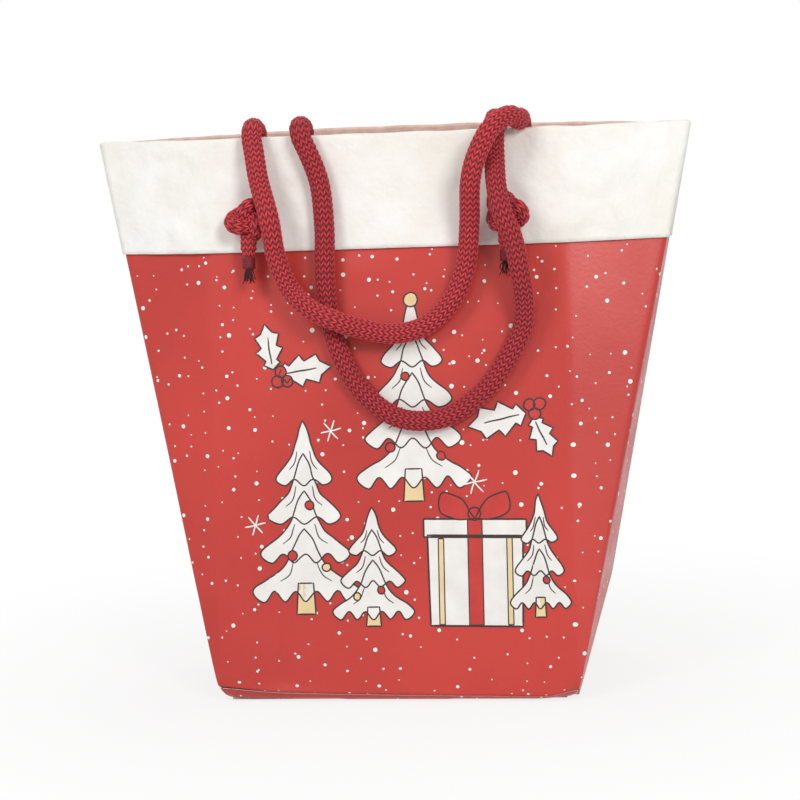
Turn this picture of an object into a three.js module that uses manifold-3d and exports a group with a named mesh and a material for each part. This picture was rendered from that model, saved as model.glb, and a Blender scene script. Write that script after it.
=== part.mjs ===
// A gift bag for wine: one folded sheet of coated card with a turned cuff round its mouth, a loose
// base board, and two braided rope handles whose knotted ends sit outside the cuff.
// Millimetres, +Z up, front towards -Y, origin on the ground under the middle of the base.
import * as THREE from 'three';
import { mergeVertices } from 'three/addons/utils/BufferGeometryUtils.js';
import Module from 'manifold-3d';

const wasm = await Module();
wasm.setup();

// Driving dimensions
const BASE_WIDTH = 200;        // along X, across the front panel
const BASE_DEPTH = 140;        // along Y, the flat width of a gusset
const RIM_HEIGHT = 312;        // ground to rim
const MOUTH_GAP = 36;          // front rim to back rim, outside faces
const SHEET = 1;               // card thickness as modelled
const FOOT_OUT = 18;           // how far the apex of a foot triangle stands outside the base
const FOOT_UP = 60;            // and its height
const CUFF_HEIGHT = 63;
const CUFF_SKIN = 0.8;
const STIFFENER_HEIGHT = 56;
const STIFFENER = 1.5;
const CARD_INSET = 4;          // stiffener card to each side crease
const BOARD = 2.5;             // thickness of the loose base board
const BOARD_SIDE_CLEARANCE = 6;
const BOARD_END_CLEARANCE = 6;
const ROPE = 12;               // rope diameter
const HOLE_X = 70;             // rope holes, from the middle of the bag
const HOLE_DROP = 46;          // and below the rim
const HOLE_CLEARANCE = 0.6;    // between rope and hole, all round
const KNOT_WIDTH = 24;
const KNOT_DEPTH = 19;
const NECK = 9;                // diameter of the rope end below a knot
const NECK_LENGTH = 9;
const WHIPPING = 7.5;          // outer diameter of the thread whipping
const WHIPPING_CORE = 5;
const WHIPPING_LENGTH = 6;
const FRAY = 10;               // width of the frayed end
const FRAY_LENGTH = 9;
const NECK_TAPER = 3;          // height over which the neck narrows into the whipping
const FRAY_TIP = 1;            // and the blunt tip of the fray
const RIM_SPREAD = 5;          // front handle: how much further apart it is at the rim than at its holes
const RIM_EASE = 0.5;          // slack of the rope where it bends over the rim
const HOLE_EASE = 1.5;         // and where it bends out of its hole

// Clearances
const TOUCH = 0.3;             // between layers that lie on each other
const CREASE_GAP = 0.6;        // panel edge to a crease
const FOLD_GAP = 1;            // gusset edge to the crease that it folds on, outside face
const FOLD_BEVEL = 1.4;        // more of that on the inside face, so the gusset can fold inwards
const MIDDLE_GAP = 0.8;        // gusset half to the middle crease
const FOOT_EDGE_GAP = 0.9;     // gusset edge to the crease of the foot triangle
const FOOT_INSET = 1.8;        // foot triangle edge to its creases

// Sizes of the cutting blocks and the smallest step between two corners
const CUTTER_LENGTH = 40;
const BLOCK = 400;
const TINY = 1e-6;
const FOLD_STEP = 1e-3;

// How finely round things are divided
const BORE_SEGMENTS = 24;
const ROPE_SEGMENTS = 5;
const KNOT_SEGMENTS = [20, 14];
const END_SEGMENTS = 14;
const WHIPPING_SEGMENTS = 16;

// Derived dimensions
const halfWidth = BASE_WIDTH / 2;
const halfDepth = BASE_DEPTH / 2;
const halfMouth = MOUTH_GAP / 2;
const lean = Math.atan2(halfDepth - halfMouth, RIM_HEIGHT);
const wallLength = Math.hypot(halfDepth - halfMouth, RIM_HEIGHT);
const gussetSpread = Math.sqrt(halfDepth ** 2 - halfMouth ** 2);
const footLength = Math.hypot(FOOT_OUT, FOOT_UP);
const cuffOutside = TOUCH + CUFF_SKIN;
const cuffInside = SHEET + TOUCH + STIFFENER + TOUCH + CUFF_SKIN;
const ropeOff = ROPE / 2 + TOUCH;
const rimMiddle = (cuffInside - cuffOutside) / 2;
const rimTurn = ropeOff + RIM_EASE;        // bend radius of the rope over an edge of the rim
const legOff = cuffInside + rimTurn;
const frontRimX = HOLE_X + RIM_SPREAD;
const legTurn = ROPE / 2 + HOLE_EASE;      // bend radius of the rope where it leaves its hole

const red = new THREE.MeshStandardMaterial({ color: 0xc8413d, roughness: 0.35, metalness: 0 });
const white = new THREE.MeshStandardMaterial({ color: 0xf2efec, roughness: 0.7, metalness: 0 });
const greyCard = new THREE.MeshStandardMaterial({ color: 0xb9b2a6, roughness: 0.9, metalness: 0 });
const ropeRed = new THREE.MeshStandardMaterial({ color: 0xb51c33, roughness: 0.85, metalness: 0 });

const bag = new THREE.Group();

function add(parent, name, geometry, material) {
  const mesh = new THREE.Mesh(geometry, material);
  mesh.name = name;
  parent.add(mesh);
  return mesh;
}

// A closed solid for the boolean library, from a geometry, and back
function toSolid(geometry) {
  const bare = geometry.clone();
  bare.deleteAttribute('normal');
  bare.deleteAttribute('uv');
  const merged = mergeVertices(bare, 1e-4);
  return new wasm.Manifold(new wasm.Mesh({
    numProp: 3,
    vertProperties: new Float32Array(merged.attributes.position.array),
    triVerts: new Uint32Array(merged.index.array),
  }));
}

function toGeometry(solid) {
  const mesh = solid.getMesh();
  const geometry = new THREE.BufferGeometry();
  geometry.setAttribute('position', new THREE.BufferAttribute(mesh.vertProperties, 3));
  geometry.setIndex(new THREE.BufferAttribute(mesh.triVerts, 1));
  return geometry;
}

function box(x0, x1, y0, y1, z0, z1) {
  const geometry = new THREE.BoxGeometry(x1 - x0, y1 - y0, z1 - z0);
  geometry.translate((x0 + x1) / 2, (y0 + y1) / 2, (z0 + z1) / 2);
  return geometry;
}

// The two rope holes of a wall, as cutters in the wall's own frame
function withHoles(geometry) {
  let solid = toSolid(geometry);
  for (const side of [-1, 1]) {
    const radius = ROPE / 2 + HOLE_CLEARANCE;
    const bore = new THREE.CylinderGeometry(radius, radius, CUTTER_LENGTH, BORE_SEGMENTS);
    bore.translate(side * HOLE_X, 0, wallLength - HOLE_DROP);
    solid = solid.subtract(toSolid(bore));
  }
  return toGeometry(solid);
}

// A wall's own frame: X across, Y inwards from its outside face, Z up along the card
function wallFrame(turn, y) {
  const placed = new THREE.Group();
  placed.position.set(0, y, 0);
  placed.rotation.z = turn;
  const leaning = new THREE.Group();
  leaning.rotation.x = -lean;
  placed.add(leaning);
  bag.add(placed);
  return leaning;
}

// The turned cuff: an upside-down U over the top of a wall, drawn in Y and Z
function cuffGeometry() {
  const bottom = wallLength - CUFF_HEIGHT;
  const outline = new THREE.Shape([
    new THREE.Vector2(-cuffOutside, bottom),
    new THREE.Vector2(-TOUCH, bottom),
    new THREE.Vector2(-TOUCH, wallLength - CUFF_SKIN),
    new THREE.Vector2(cuffInside - CUFF_SKIN, wallLength - CUFF_SKIN),
    new THREE.Vector2(cuffInside - CUFF_SKIN, bottom),
    new THREE.Vector2(cuffInside, bottom),
    new THREE.Vector2(cuffInside, wallLength),
    new THREE.Vector2(-cuffOutside, wallLength),
  ]);
  const width = BASE_WIDTH - 2 * CREASE_GAP;
  const geometry = new THREE.ExtrudeGeometry(outline, { depth: width, bevelEnabled: false });
  geometry.applyMatrix4(new THREE.Matrix4().makeBasis(
    new THREE.Vector3(0, 1, 0), new THREE.Vector3(0, 0, 1), new THREE.Vector3(1, 0, 0)));
  geometry.translate(-width / 2, 0, 0);
  return withHoles(geometry);
}

function addWall(name, frame) {
  const side = halfWidth - CREASE_GAP;
  const cardSide = side - CARD_INSET;
  const foot = SHEET * Math.tan(lean);
  const top = wallLength - CUFF_SKIN - TOUCH;
  const cardIn = SHEET + TOUCH;
  add(frame, `${name}_panel`, withHoles(box(-side, side, 0, SHEET, foot, top)), red);
  add(frame, `${name}_stiffener_card`, withHoles(
    box(-cardSide, cardSide, cardIn, cardIn + STIFFENER, top - STIFFENER_HEIGHT, top)), greyCard);
  add(frame, `${name}_cuff`, cuffGeometry(), white);
}

const front = wallFrame(0, -halfDepth);
const back = wallFrame(Math.PI, halfDepth);
addWall('front', front);
addWall('back', back);

// Corner points of one gusset half on its outside face; mirrored for the other three
const P0 = new THREE.Vector3(halfWidth, -halfDepth, 0);
const P1 = new THREE.Vector3(halfWidth, -halfMouth, RIM_HEIGHT);
const M1 = new THREE.Vector3(halfWidth + gussetSpread, 0, RIM_HEIGHT);
const K = new THREE.Vector3(halfWidth + FOOT_OUT, 0, FOOT_UP);

function facetNormal(a, b, c) {
  return new THREE.Vector3().subVectors(b, a).cross(new THREE.Vector3().subVectors(c, a)).normalize();
}

const outerNormal = facetNormal(P0, M1, P1);
const innerNormal = facetNormal(P0, K, M1);
const foldNormal = outerNormal.clone().add(innerNormal).normalize();
foldNormal.divideScalar(foldNormal.dot(outerNormal));

// u runs from the front crease to the middle crease, v up the card. Above the diagonal from the base
// corner to the rim corner the card is one facet, below it the other.
function gussetPoint(u, v, off) {
  const diagonal = v - wallLength * u / halfDepth;
  const point = P0.clone();
  let normal = foldNormal;
  if (diagonal >= -TINY) {
    point.addScaledVector(new THREE.Vector3().subVectors(P1, P0), v / wallLength);
    point.addScaledVector(new THREE.Vector3().subVectors(M1, P1), u / halfDepth);
    if (diagonal > TINY) normal = outerNormal;
  } else {
    const up = (v - footLength * u / halfDepth) / (wallLength - footLength);
    point.addScaledVector(new THREE.Vector3().subVectors(K, P0), u / halfDepth - up);
    point.addScaledVector(new THREE.Vector3().subVectors(M1, P0), up);
    normal = innerNormal;
  }
  return point.addScaledVector(normal, off);
}

// A plate folded along the gusset's diagonal. Its outline runs round from the bottom; the inside face
// may start further from the crease. bottom(u) gives the lower edge.
function gussetPlate(bottom, top, outOff, inOff) {
  const ring = (start, off) => [
    [start, bottom(start)],
    [halfDepth, bottom(halfDepth)],
    [halfDepth, top],
    [halfDepth * top / wallLength, top],
    [start, top],
    [start, wallLength * start / halfDepth],
  ].map(([u, v]) => gussetPoint(u, v, off));
  return [ring(FOLD_GAP, outOff), ring(FOLD_GAP + FOLD_BEVEL, inOff)];
}

// Joins an outside ring and an inside ring of six points into a closed solid
function ringSolid([outside, inside], facets) {
  const points = [...outside, ...inside];
  const count = outside.length;
  const index = [];
  for (const facet of facets) {
    index.push(...facet);
    index.push(facet[0] + count, facet[2] + count, facet[1] + count);
  }
  for (let i = 0; i < count; i += 1) {
    const next = (i + 1) % count;
    index.push(i, i + count, next, next, i + count, next + count);
  }
  const geometry = new THREE.BufferGeometry().setFromPoints(points);
  geometry.setIndex(index);
  return geometry;
}

// Keeps what lies in front of the middle crease
function trimmed(geometry) {
  const behind = box(-BLOCK, BLOCK, -MIDDLE_GAP / 2, BLOCK, -BLOCK, BLOCK);
  return toSolid(geometry).subtract(toSolid(behind));
}

// Panel: lower edge along the foot crease. The fold starts on the crease edge.
function gussetPanel() {
  const bottom = (u) => footLength * u / halfDepth + FOOT_EDGE_GAP;
  const rings = gussetPlate(bottom, wallLength - CUFF_SKIN - TOUCH, 0, -SHEET);
  return trimmed(ringSolid(rings, [[0, 1, 5], [1, 2, 5], [2, 3, 5], [3, 4, 5]]));
}

// Cuff strip: lower edge level. The fold starts part of the way along it, so its ring is reordered.
function gussetCuff() {
  const low = wallLength - CUFF_HEIGHT;
  const foldU = (v) => halfDepth * v / wallLength;
  const ring = (start, off) => [
    [start, low], [foldU(low), low], [halfDepth, low],
    [halfDepth, wallLength], [foldU(wallLength) - FOLD_STEP, wallLength], [start, wallLength],
  ].map(([u, v]) => gussetPoint(u, v, off));
  const rings = [ring(FOLD_GAP, cuffOutside), ring(FOLD_GAP, TOUCH)];
  return trimmed(ringSolid(rings, [[0, 1, 4], [0, 4, 5], [1, 2, 3], [1, 3, 4]]));
}

const panelSolid = gussetPanel();
const cuffSolid = gussetCuff();
for (const [depthName, ySign] of [['front', 1], ['back', -1]]) {
  for (const [sideName, xSign] of [['left', -1], ['right', 1]]) {
    const place = (solid) => {
      let placed = solid;
      if (xSign < 0) placed = placed.mirror([1, 0, 0]);
      if (ySign < 0) placed = placed.mirror([0, 1, 0]);
      return toGeometry(placed);
    };
    add(bag, `gusset_${depthName}_${sideName}`, place(panelSolid), red);
    add(bag, `gusset_cuff_${depthName}_${sideName}`, place(cuffSolid), white);
  }
}

// Foot triangles: from a side edge of the base up to the apex of the gusset
for (const [sideName, xSign] of [['left', -1], ['right', 1]]) {
  const outline = new THREE.Shape([
    new THREE.Vector2(-halfDepth + FOOT_INSET, 0),
    new THREE.Vector2(halfDepth - FOOT_INSET, 0),
    new THREE.Vector2(0, footLength - FOOT_INSET * footLength / halfDepth),
  ]);
  const geometry = new THREE.ExtrudeGeometry(outline, { depth: SHEET, bevelEnabled: false });
  const tilt = Math.atan2(FOOT_OUT, FOOT_UP);
  const along = new THREE.Vector3(0, 1, 0);
  const up = new THREE.Vector3(Math.sin(tilt), 0, Math.cos(tilt));
  const outward = new THREE.Vector3().crossVectors(along, up);
  geometry.translate(0, 0, -SHEET);
  geometry.applyMatrix4(new THREE.Matrix4().makeBasis(along, up, outward));
  geometry.translate(halfWidth, 0, 0);
  const below = box(-BLOCK, BLOCK, -BLOCK, BLOCK, -BLOCK, 0);
  const level = toSolid(geometry).subtract(toSolid(below));
  add(bag, `foot_triangle_${sideName}`,
    toGeometry(xSign < 0 ? level.mirror([1, 0, 0]) : level), red);
}

// Base panel and the loose board on it
const baseSide = halfWidth - SHEET - CREASE_GAP;
const baseEnd = halfDepth - SHEET - 2 * CREASE_GAP;
add(bag, 'base_panel', box(-baseSide, baseSide, -baseEnd, baseEnd, 0, SHEET), red);
const boardLow = SHEET + TOUCH;
add(bag, 'base_board', box(
  -halfWidth + BOARD_SIDE_CLEARANCE, halfWidth - BOARD_SIDE_CLEARANCE,
  -halfDepth + BOARD_END_CLEARANCE, halfDepth - BOARD_END_CLEARANCE, boardLow, boardLow + BOARD),
greyCard);

// A rope stretch: a plain tube through route points
function ropeTube(points, steps) {
  const route = new THREE.CatmullRomCurve3(
    points.map((p) => new THREE.Vector3(...p)), false, 'centripetal');
  const section = new THREE.Shape();
  section.absarc(0, 0, ROPE / 2, 0, Math.PI * 2, false);
  return new THREE.ExtrudeGeometry(section, {
    steps, curveSegments: ROPE_SEGMENTS, bevelEnabled: false, extrudePath: route,
  });
}

// Route points of the handles. Wall stretches are X, distance inwards from the wall's outside face,
// and distance up from the rim; they are placed in the frame of the wall that they lie on.
const onWall = (points) => points.map(([x, y, up]) => [x, y, wallLength + up]);
const holeOut = -cuffOutside + TOUCH;

// Over the rim's inside edge, from a point beside it to the middle of the rim, and over its outside edge
const turnIn = (x) => [
  [x, cuffInside + rimTurn * Math.SQRT1_2, rimTurn * Math.SQRT1_2],
  [x, cuffInside, rimTurn],
  [x, rimMiddle + TOUCH / 2, rimTurn],
];
const turnOut = (x) => [
  [x, rimMiddle - TOUCH / 2, rimTurn],
  [x, -cuffOutside, rimTurn],
  [x, -cuffOutside - rimTurn * Math.SQRT1_2, rimTurn * Math.SQRT1_2],
];

// Out of the hole and a quarter turn up the inside of the wall
const holeTurn = (x) => [
  [x, holeOut, -HOLE_DROP],
  [x, cuffInside + TOUCH, -HOLE_DROP],
  [x, cuffInside + TOUCH + legTurn * Math.SQRT1_2, -HOLE_DROP + legTurn * (1 - Math.SQRT1_2)],
  [x, cuffInside + TOUCH + legTurn, -HOLE_DROP + legTurn],
];

for (const [sideName, sign] of [['left', -1], ['right', 1]]) {
  add(front, `front_handle_leg_${sideName}`, ropeTube(onWall([
    ...holeTurn(sign * HOLE_X),
    [sign * (HOLE_X + 2.5), legOff + 0.4, -26],
    [sign * frontRimX, legOff, -13],
    [sign * frontRimX, legOff, -8],
  ]), 16), ropeRed);
  add(front, `front_handle_bend_${sideName}`, ropeTube(onWall([
    [sign * frontRimX, legOff, -8 + TOUCH],
    [sign * frontRimX, legOff, -0.5],
    ...turnIn(sign * frontRimX),
  ]), 8), ropeRed);
}

// Front handle loop, from the left top of the rim round to the right top
add(front, 'front_handle_loop', ropeTube(onWall([
  ...turnOut(-frontRimX),
  [-74.6, -8.4, -1],
  [-73.2, -11, -7],
  [-69.5, -16.5, -25],
  [-63, -22, -47],
  [-60.4, -16.5, -68],
  [-53, -13.5, -86],
  [-42, -18.6, -97],
  [-30, -20.4, -103],
  [-16, -15.6, -108],
  [4, -9, -111.5],
  [22, -7.4, -107],
  [36, -7.6, -94],
  [44, -8.6, -76],
  [47.4, -14.5, -52],
  [49.4, -24.2, -30],
  [53.6, -27, -16],
  [61.5, -25.6, -1.5],
  [70.4, -16.5, 6],
  ...turnOut(frontRimX).reverse(),
]), 76), ropeRed);

// Where the back handle crosses the front rim
const backRimX = { left: -48, right: 61.5 };

// Back handle: its legs leave the back wall inside, cross the mouth and reach the front rim
const fromBack = ([x, y, up]) => {
  const z = wallLength + up;
  return [-x, halfDepth - (z * Math.sin(lean) + y * Math.cos(lean)), z * Math.cos(lean) - y * Math.sin(lean)];
};
const fromFront = ([x, y, up]) => {
  const z = wallLength + up;
  return [x, -halfDepth + z * Math.sin(lean) + y * Math.cos(lean), z * Math.cos(lean) - y * Math.sin(lean)];
};
for (const [sideName, sign] of [['left', -1], ['right', 1]]) {
  const rimX = backRimX[sideName];
  add(bag, `back_handle_leg_${sideName}`, ropeTube([
    ...holeTurn(-sign * HOLE_X).map(fromBack),
    fromBack([-(sign * HOLE_X * 0.7 + rimX * 0.3), legOff + 0.4, -28]),
    fromFront([sign * HOLE_X * 0.3 + rimX * 0.7, 21.4, -15]),
    fromFront([rimX, 16.4, -8.5]),
    fromFront([rimX, 14.2, -4.8]),
  ], 18), ropeRed);
  add(front, `back_handle_bend_${sideName}`, ropeTube(onWall([
    [rimX, 13.95, -4.4],
    [rimX, 12.1, -1.2],
    ...turnIn(rimX),
  ]), 6), ropeRed);
}

// Back handle loop, hanging under the front one
add(front, 'back_handle_loop', ropeTube(onWall([
  ...turnOut(backRimX.left),
  [-46.6, -8.2, -1],
  [-43, -8.4, -9],
  [-37, -7.8, -26],
  [-34.6, -7.8, -50],
  [-34.8, -7, -78],
  [-33, -6.4, -100],
  [-27.5, -6.6, -121],
  [-15, -6.6, -143],
  [5, -6.4, -158],
  [30, -6.4, -158.5],
  [52, -6.4, -145],
  [66, -6.6, -127],
  [75, -7.6, -109],
  [76.4, -12, -97],
  [75.4, -20.6, -82],
  [72, -26.6, -62],
  [66.5, -28.6, -47],
  [63.6, -24.5, -33],
  [62.2, -16.6, -19],
  [61.7, -12.4, -9],
  [61.5, -8.8, -1],
  ...turnOut(backRimX.right).reverse(),
]), 78), ropeRed);

// Knots, whippings and frayed ends, outside each wall. A front knot hangs to one side of its hole.
const knotSide = { front: { left: -7, right: -3 }, back: { left: 0, right: 0 } };
for (const [wallName, frame] of [['front', front], ['back', back]]) {
  for (const [sideName, sign] of [['left', -1], ['right', 1]]) {
    const turned = wallName === 'back' ? -sign : sign;
    const x = turned * HOLE_X + knotSide[wallName][sideName];
    const holder = new THREE.Group();
    holder.position.set(x, -cuffOutside - TOUCH - KNOT_DEPTH / 2, wallLength - HOLE_DROP);
    frame.add(holder);
    const knot = new THREE.SphereGeometry(1, ...KNOT_SEGMENTS);
    knot.scale(KNOT_WIDTH / 2, KNOT_DEPTH / 2, KNOT_WIDTH / 2);
    add(holder, `knot_${wallName}_${sideName}`, knot, ropeRed);

    const top = -KNOT_WIDTH / 2 - TOUCH;
    const waistTop = top - NECK_LENGTH;
    const waistLow = waistTop - WHIPPING_LENGTH;
    const end = new THREE.LatheGeometry([
      new THREE.Vector2(0, waistLow - FRAY_LENGTH),
      new THREE.Vector2(FRAY / 2, waistLow - FRAY_LENGTH + FRAY_TIP),
      new THREE.Vector2(WHIPPING_CORE / 2, waistLow - TOUCH),
      new THREE.Vector2(WHIPPING_CORE / 2, waistTop + TOUCH),
      new THREE.Vector2(NECK / 2, waistTop + NECK_TAPER),
      new THREE.Vector2(NECK / 2, top),
      new THREE.Vector2(0, top),
    ], END_SEGMENTS);
    end.rotateX(Math.PI / 2);
    add(holder, `rope_end_${wallName}_${sideName}`, end, ropeRed);

    const bore = WHIPPING_CORE / 2 + TOUCH;
    const whipping = new THREE.LatheGeometry([
      new THREE.Vector2(bore, waistLow),
      new THREE.Vector2(WHIPPING / 2, waistLow),
      new THREE.Vector2(WHIPPING / 2, waistTop),
      new THREE.Vector2(bore, waistTop),
      new THREE.Vector2(bore, waistLow),
    ], WHIPPING_SEGMENTS);
    whipping.rotateX(Math.PI / 2);
    add(holder, `whipping_${wallName}_${sideName}`, whipping, ropeRed);
  }
}

export default bag;
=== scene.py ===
import math

import bmesh
import bpy
import numpy as np
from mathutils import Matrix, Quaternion, Vector, noise
from mathutils.bvhtree import BVHTree
from mathutils.geometry import delaunay_2d_cdt


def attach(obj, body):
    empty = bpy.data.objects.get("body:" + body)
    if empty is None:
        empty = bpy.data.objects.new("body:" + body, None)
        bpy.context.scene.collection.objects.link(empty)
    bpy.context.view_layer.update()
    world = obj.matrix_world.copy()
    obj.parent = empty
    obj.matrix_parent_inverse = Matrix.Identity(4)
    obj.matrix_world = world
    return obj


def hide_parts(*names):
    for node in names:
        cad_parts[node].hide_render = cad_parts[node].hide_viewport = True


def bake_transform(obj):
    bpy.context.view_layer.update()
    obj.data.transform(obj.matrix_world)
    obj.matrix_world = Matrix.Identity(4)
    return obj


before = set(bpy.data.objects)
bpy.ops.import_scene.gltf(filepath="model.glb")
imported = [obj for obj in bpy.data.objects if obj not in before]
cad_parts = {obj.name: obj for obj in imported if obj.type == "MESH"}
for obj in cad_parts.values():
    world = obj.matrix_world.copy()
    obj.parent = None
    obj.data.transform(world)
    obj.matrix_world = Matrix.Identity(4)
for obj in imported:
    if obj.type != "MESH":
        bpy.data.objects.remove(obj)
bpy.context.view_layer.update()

scene = bpy.context.scene
scene.view_settings.view_transform = "Standard"

# Camera
# It stands a little to the right of straight ahead and slightly above, far back with a long
# lens, and is tipped by two and a half degrees, as a hand-held camera is.
AIM = Vector((-0.0011, 0.0, 0.16))
AZIMUTH = math.radians(8.1)
ELEVATION = math.radians(8.0)
DISTANCE = 1.4
ROLL = math.radians(-2.46)
LENS = 109.8

backward = Vector((
    math.sin(AZIMUTH) * math.cos(ELEVATION),
    -math.cos(AZIMUTH) * math.cos(ELEVATION),
    math.sin(ELEVATION),
))
camera = bpy.data.objects.new("camera", bpy.data.cameras.new("camera"))
scene.collection.objects.link(camera)
camera.data.lens = LENS
camera.location = AIM + backward * DISTANCE
camera.rotation_mode = "QUATERNION"
camera.rotation_quaternion = backward.to_track_quat("Z", "Y") @ Quaternion((0, 0, 1), ROLL)
scene.camera = camera

# Rope handles
# Two lengths of 12 mm braided cotton rope. Each comes through a punched hole, up the inside of
# the wall, over the front rim and hangs in one loop outside, the front one lying on the back one.
BASE_HALF_WIDTH = 0.1
BASE_HALF_DEPTH = 0.07
RIM_HALF_GAP = 0.018
RIM_HEIGHT = 0.312
LEAN = math.atan2(BASE_HALF_DEPTH - RIM_HALF_GAP, RIM_HEIGHT)
WALL_LENGTH = math.hypot(BASE_HALF_DEPTH - RIM_HALF_GAP, RIM_HEIGHT)
ROPE_RADIUS = 0.00575
RIM_TURN = 0.0068
LEG_TURN = 0.0075
HOLE_X = 0.07
HOLE_DROP = 0.046
BRAID_COLUMNS = 20
BRAID_PITCH = 0.0033
BRAID_DEPTH = 0.0008
RING_STEP = 0.0006
SQUARE = math.sqrt(0.5)


def on_front(x, inward, up):
    """A point of the front wall: along it, in from its outside face, and up the card from the rim."""
    along = WALL_LENGTH + up
    return Vector((
        x,
        -BASE_HALF_DEPTH + along * math.sin(LEAN) + inward * math.cos(LEAN),
        along * math.cos(LEAN) - inward * math.sin(LEAN),
    ))


def on_back(x, inward, up):
    """The same for the back wall, which is the front one turned half round."""
    front = on_front(x, inward, up)
    return Vector((-front.x, -front.y, front.z))


def rim_inside(x):
    """The rope's way up to the top of the rim from inside."""
    lead = 0.0019 + RIM_TURN * SQUARE
    return [(x, lead + 0.002, RIM_TURN * SQUARE), (x, 0.0039, RIM_TURN), (x, 0.0016, RIM_TURN)]


def rim_outside(x):
    """The rope's way down from the top of the rim on the outside."""
    return [(x, -0.0011, RIM_TURN), (x, -0.0059, RIM_TURN * SQUARE)]


def hole_turn(x):
    """The rope's way out of its hole and up the inside of the wall."""
    return [
        (x, -0.0008, -HOLE_DROP), (x, 0.0042, -HOLE_DROP),
        (x, 0.0095, -0.0438), (x, 0.0117, -HOLE_DROP + LEG_TURN),
    ]


def smooth_line(points, step):
    """A centripetal curve through the points, as evenly spaced places."""
    points = [np.array(p, float) for p in points]
    points = [2 * points[0] - points[1]] + points + [2 * points[-1] - points[-2]]
    dense = []
    for a, b, c, d in zip(points, points[1:], points[2:], points[3:]):
        t0, t1 = 0.0, np.linalg.norm(b - a) ** 0.5
        t2 = t1 + np.linalg.norm(c - b) ** 0.5
        t3 = t2 + np.linalg.norm(d - c) ** 0.5
        t = np.linspace(t1, t2, 40, endpoint=False)[:, None]
        a1 = (t1 - t) / (t1 - t0) * a + (t - t0) / (t1 - t0) * b
        a2 = (t2 - t) / (t2 - t1) * b + (t - t1) / (t2 - t1) * c
        a3 = (t3 - t) / (t3 - t2) * c + (t - t2) / (t3 - t2) * d
        b1 = (t2 - t) / (t2 - t0) * a1 + (t - t0) / (t2 - t0) * a2
        b2 = (t3 - t) / (t3 - t1) * a2 + (t - t1) / (t3 - t1) * a3
        dense.append((t2 - t) / (t2 - t1) * b1 + (t - t1) / (t2 - t1) * b2)
    dense = np.vstack(dense + [points[-2][None]])
    run = np.concatenate([[0], np.cumsum(np.linalg.norm(np.diff(dense, axis=0), axis=1))])
    even = np.linspace(0, run[-1], max(2, round(run[-1] / step)) + 1)
    return np.stack([np.interp(even, run, dense[:, k]) for k in range(3)], axis=1), even


def ring_frames(line):
    """Two cross directions at each place of a line, carried along it without twist."""
    tangents = np.gradient(line, axis=0)
    tangents /= np.linalg.norm(tangents, axis=1)[:, None]
    side = np.cross(tangents[0], (0.31, 0.2, 0.93))
    sides = []
    for tangent in tangents:
        side = side - tangent * side.dot(tangent)
        side /= np.linalg.norm(side)
        sides.append(side)
    sides = np.array(sides)
    return sides, np.cross(tangents, sides)


def new_object(name, vertices, faces, material, smooth=True):
    """A mesh object with one material."""
    mesh = bpy.data.meshes.new(name)
    mesh.from_pydata([tuple(v) for v in vertices], [], faces)
    mesh.polygons.foreach_set("use_smooth", [smooth] * len(mesh.polygons))
    mesh.materials.append(material)
    mesh.update()
    made = bpy.data.objects.new(name, mesh)
    scene.collection.objects.link(made)
    return made


def tube_faces(rings, around, closed=False):
    """Quads of a tube, capped unless it closes on itself."""
    faces = []
    for i in range(rings if closed else rings - 1):
        a, b = i * around, (i + 1) % rings * around
        for j in range(around):
            k = (j + 1) % around
            faces.append((a + j, a + k, b + k, b + j))
    if not closed:
        faces.append(tuple(range(around - 1, -1, -1)))
        faces.append(tuple(range((rings - 1) * around, rings * around)))
    return faces


def braided_rope(name, line, run, radius, columns, material, closed=False, widen=None):
    """A rope of herringbone braid on a line, with how deep each point lies kept as an attribute."""
    around = columns * 4
    sides, ups = ring_frames(line)
    turn = np.arange(around) / around
    column = np.floor(turn * columns)
    across = turn * columns - column
    slant = np.where(column % 2 == 0, 1.0, -1.0)
    pitch = run[-1] / max(1, round(run[-1] / BRAID_PITCH)) if closed else BRAID_PITCH
    phase = run[:, None] / pitch + (slant * (across - 0.5) * 0.8)[None]
    strand = 1 - np.abs(np.sin(np.pi * phase)) ** 3
    seam = 1 - 0.55 * np.abs(2 * across - 1)[None] ** 4
    height = strand * seam
    girth = np.ones(len(line)) * radius if widen is None else radius * widen
    reach = girth[:, None] - BRAID_DEPTH * (1 - height) * (girth / radius)[:, None]
    angle = turn * math.tau
    spokes = np.cos(angle)[None, :, None] * sides[:, None] + np.sin(angle)[None, :, None] * ups[:, None]
    vertices = (line[:, None] + spokes * reach[:, :, None]).reshape(-1, 3)
    rope = new_object(name, vertices, tube_faces(len(line), around, closed), material)
    lift = rope.data.attributes.new("braid_height", "FLOAT", "POINT")
    lift.data.foreach_set("value", height.astype(np.float32).ravel())
    return rope


def new_finish(name):
    """A new material with its principled shader."""
    material = bpy.data.materials.new(name)
    material.use_nodes = True
    nodes = material.node_tree.nodes
    return material, nodes, material.node_tree.links, nodes["Principled BSDF"]


def mixed(nodes, links, factor, low, high):
    """A colour mix of two plain colours by a varying value."""
    mix = nodes.new("ShaderNodeMix")
    mix.data_type = "RGBA"
    mix.inputs["A"].default_value = (*low, 1)
    mix.inputs["B"].default_value = (*high, 1)
    links.new(factor, mix.inputs["Factor"])
    return mix


def bumped(nodes, links, height, depth, strength=1.0):
    """A bump of this depth in metres."""
    bump = nodes.new("ShaderNodeBump")
    bump.inputs["Distance"].default_value = depth
    bump.inputs["Strength"].default_value = strength
    links.new(height, bump.inputs["Height"])
    return bump


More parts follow.
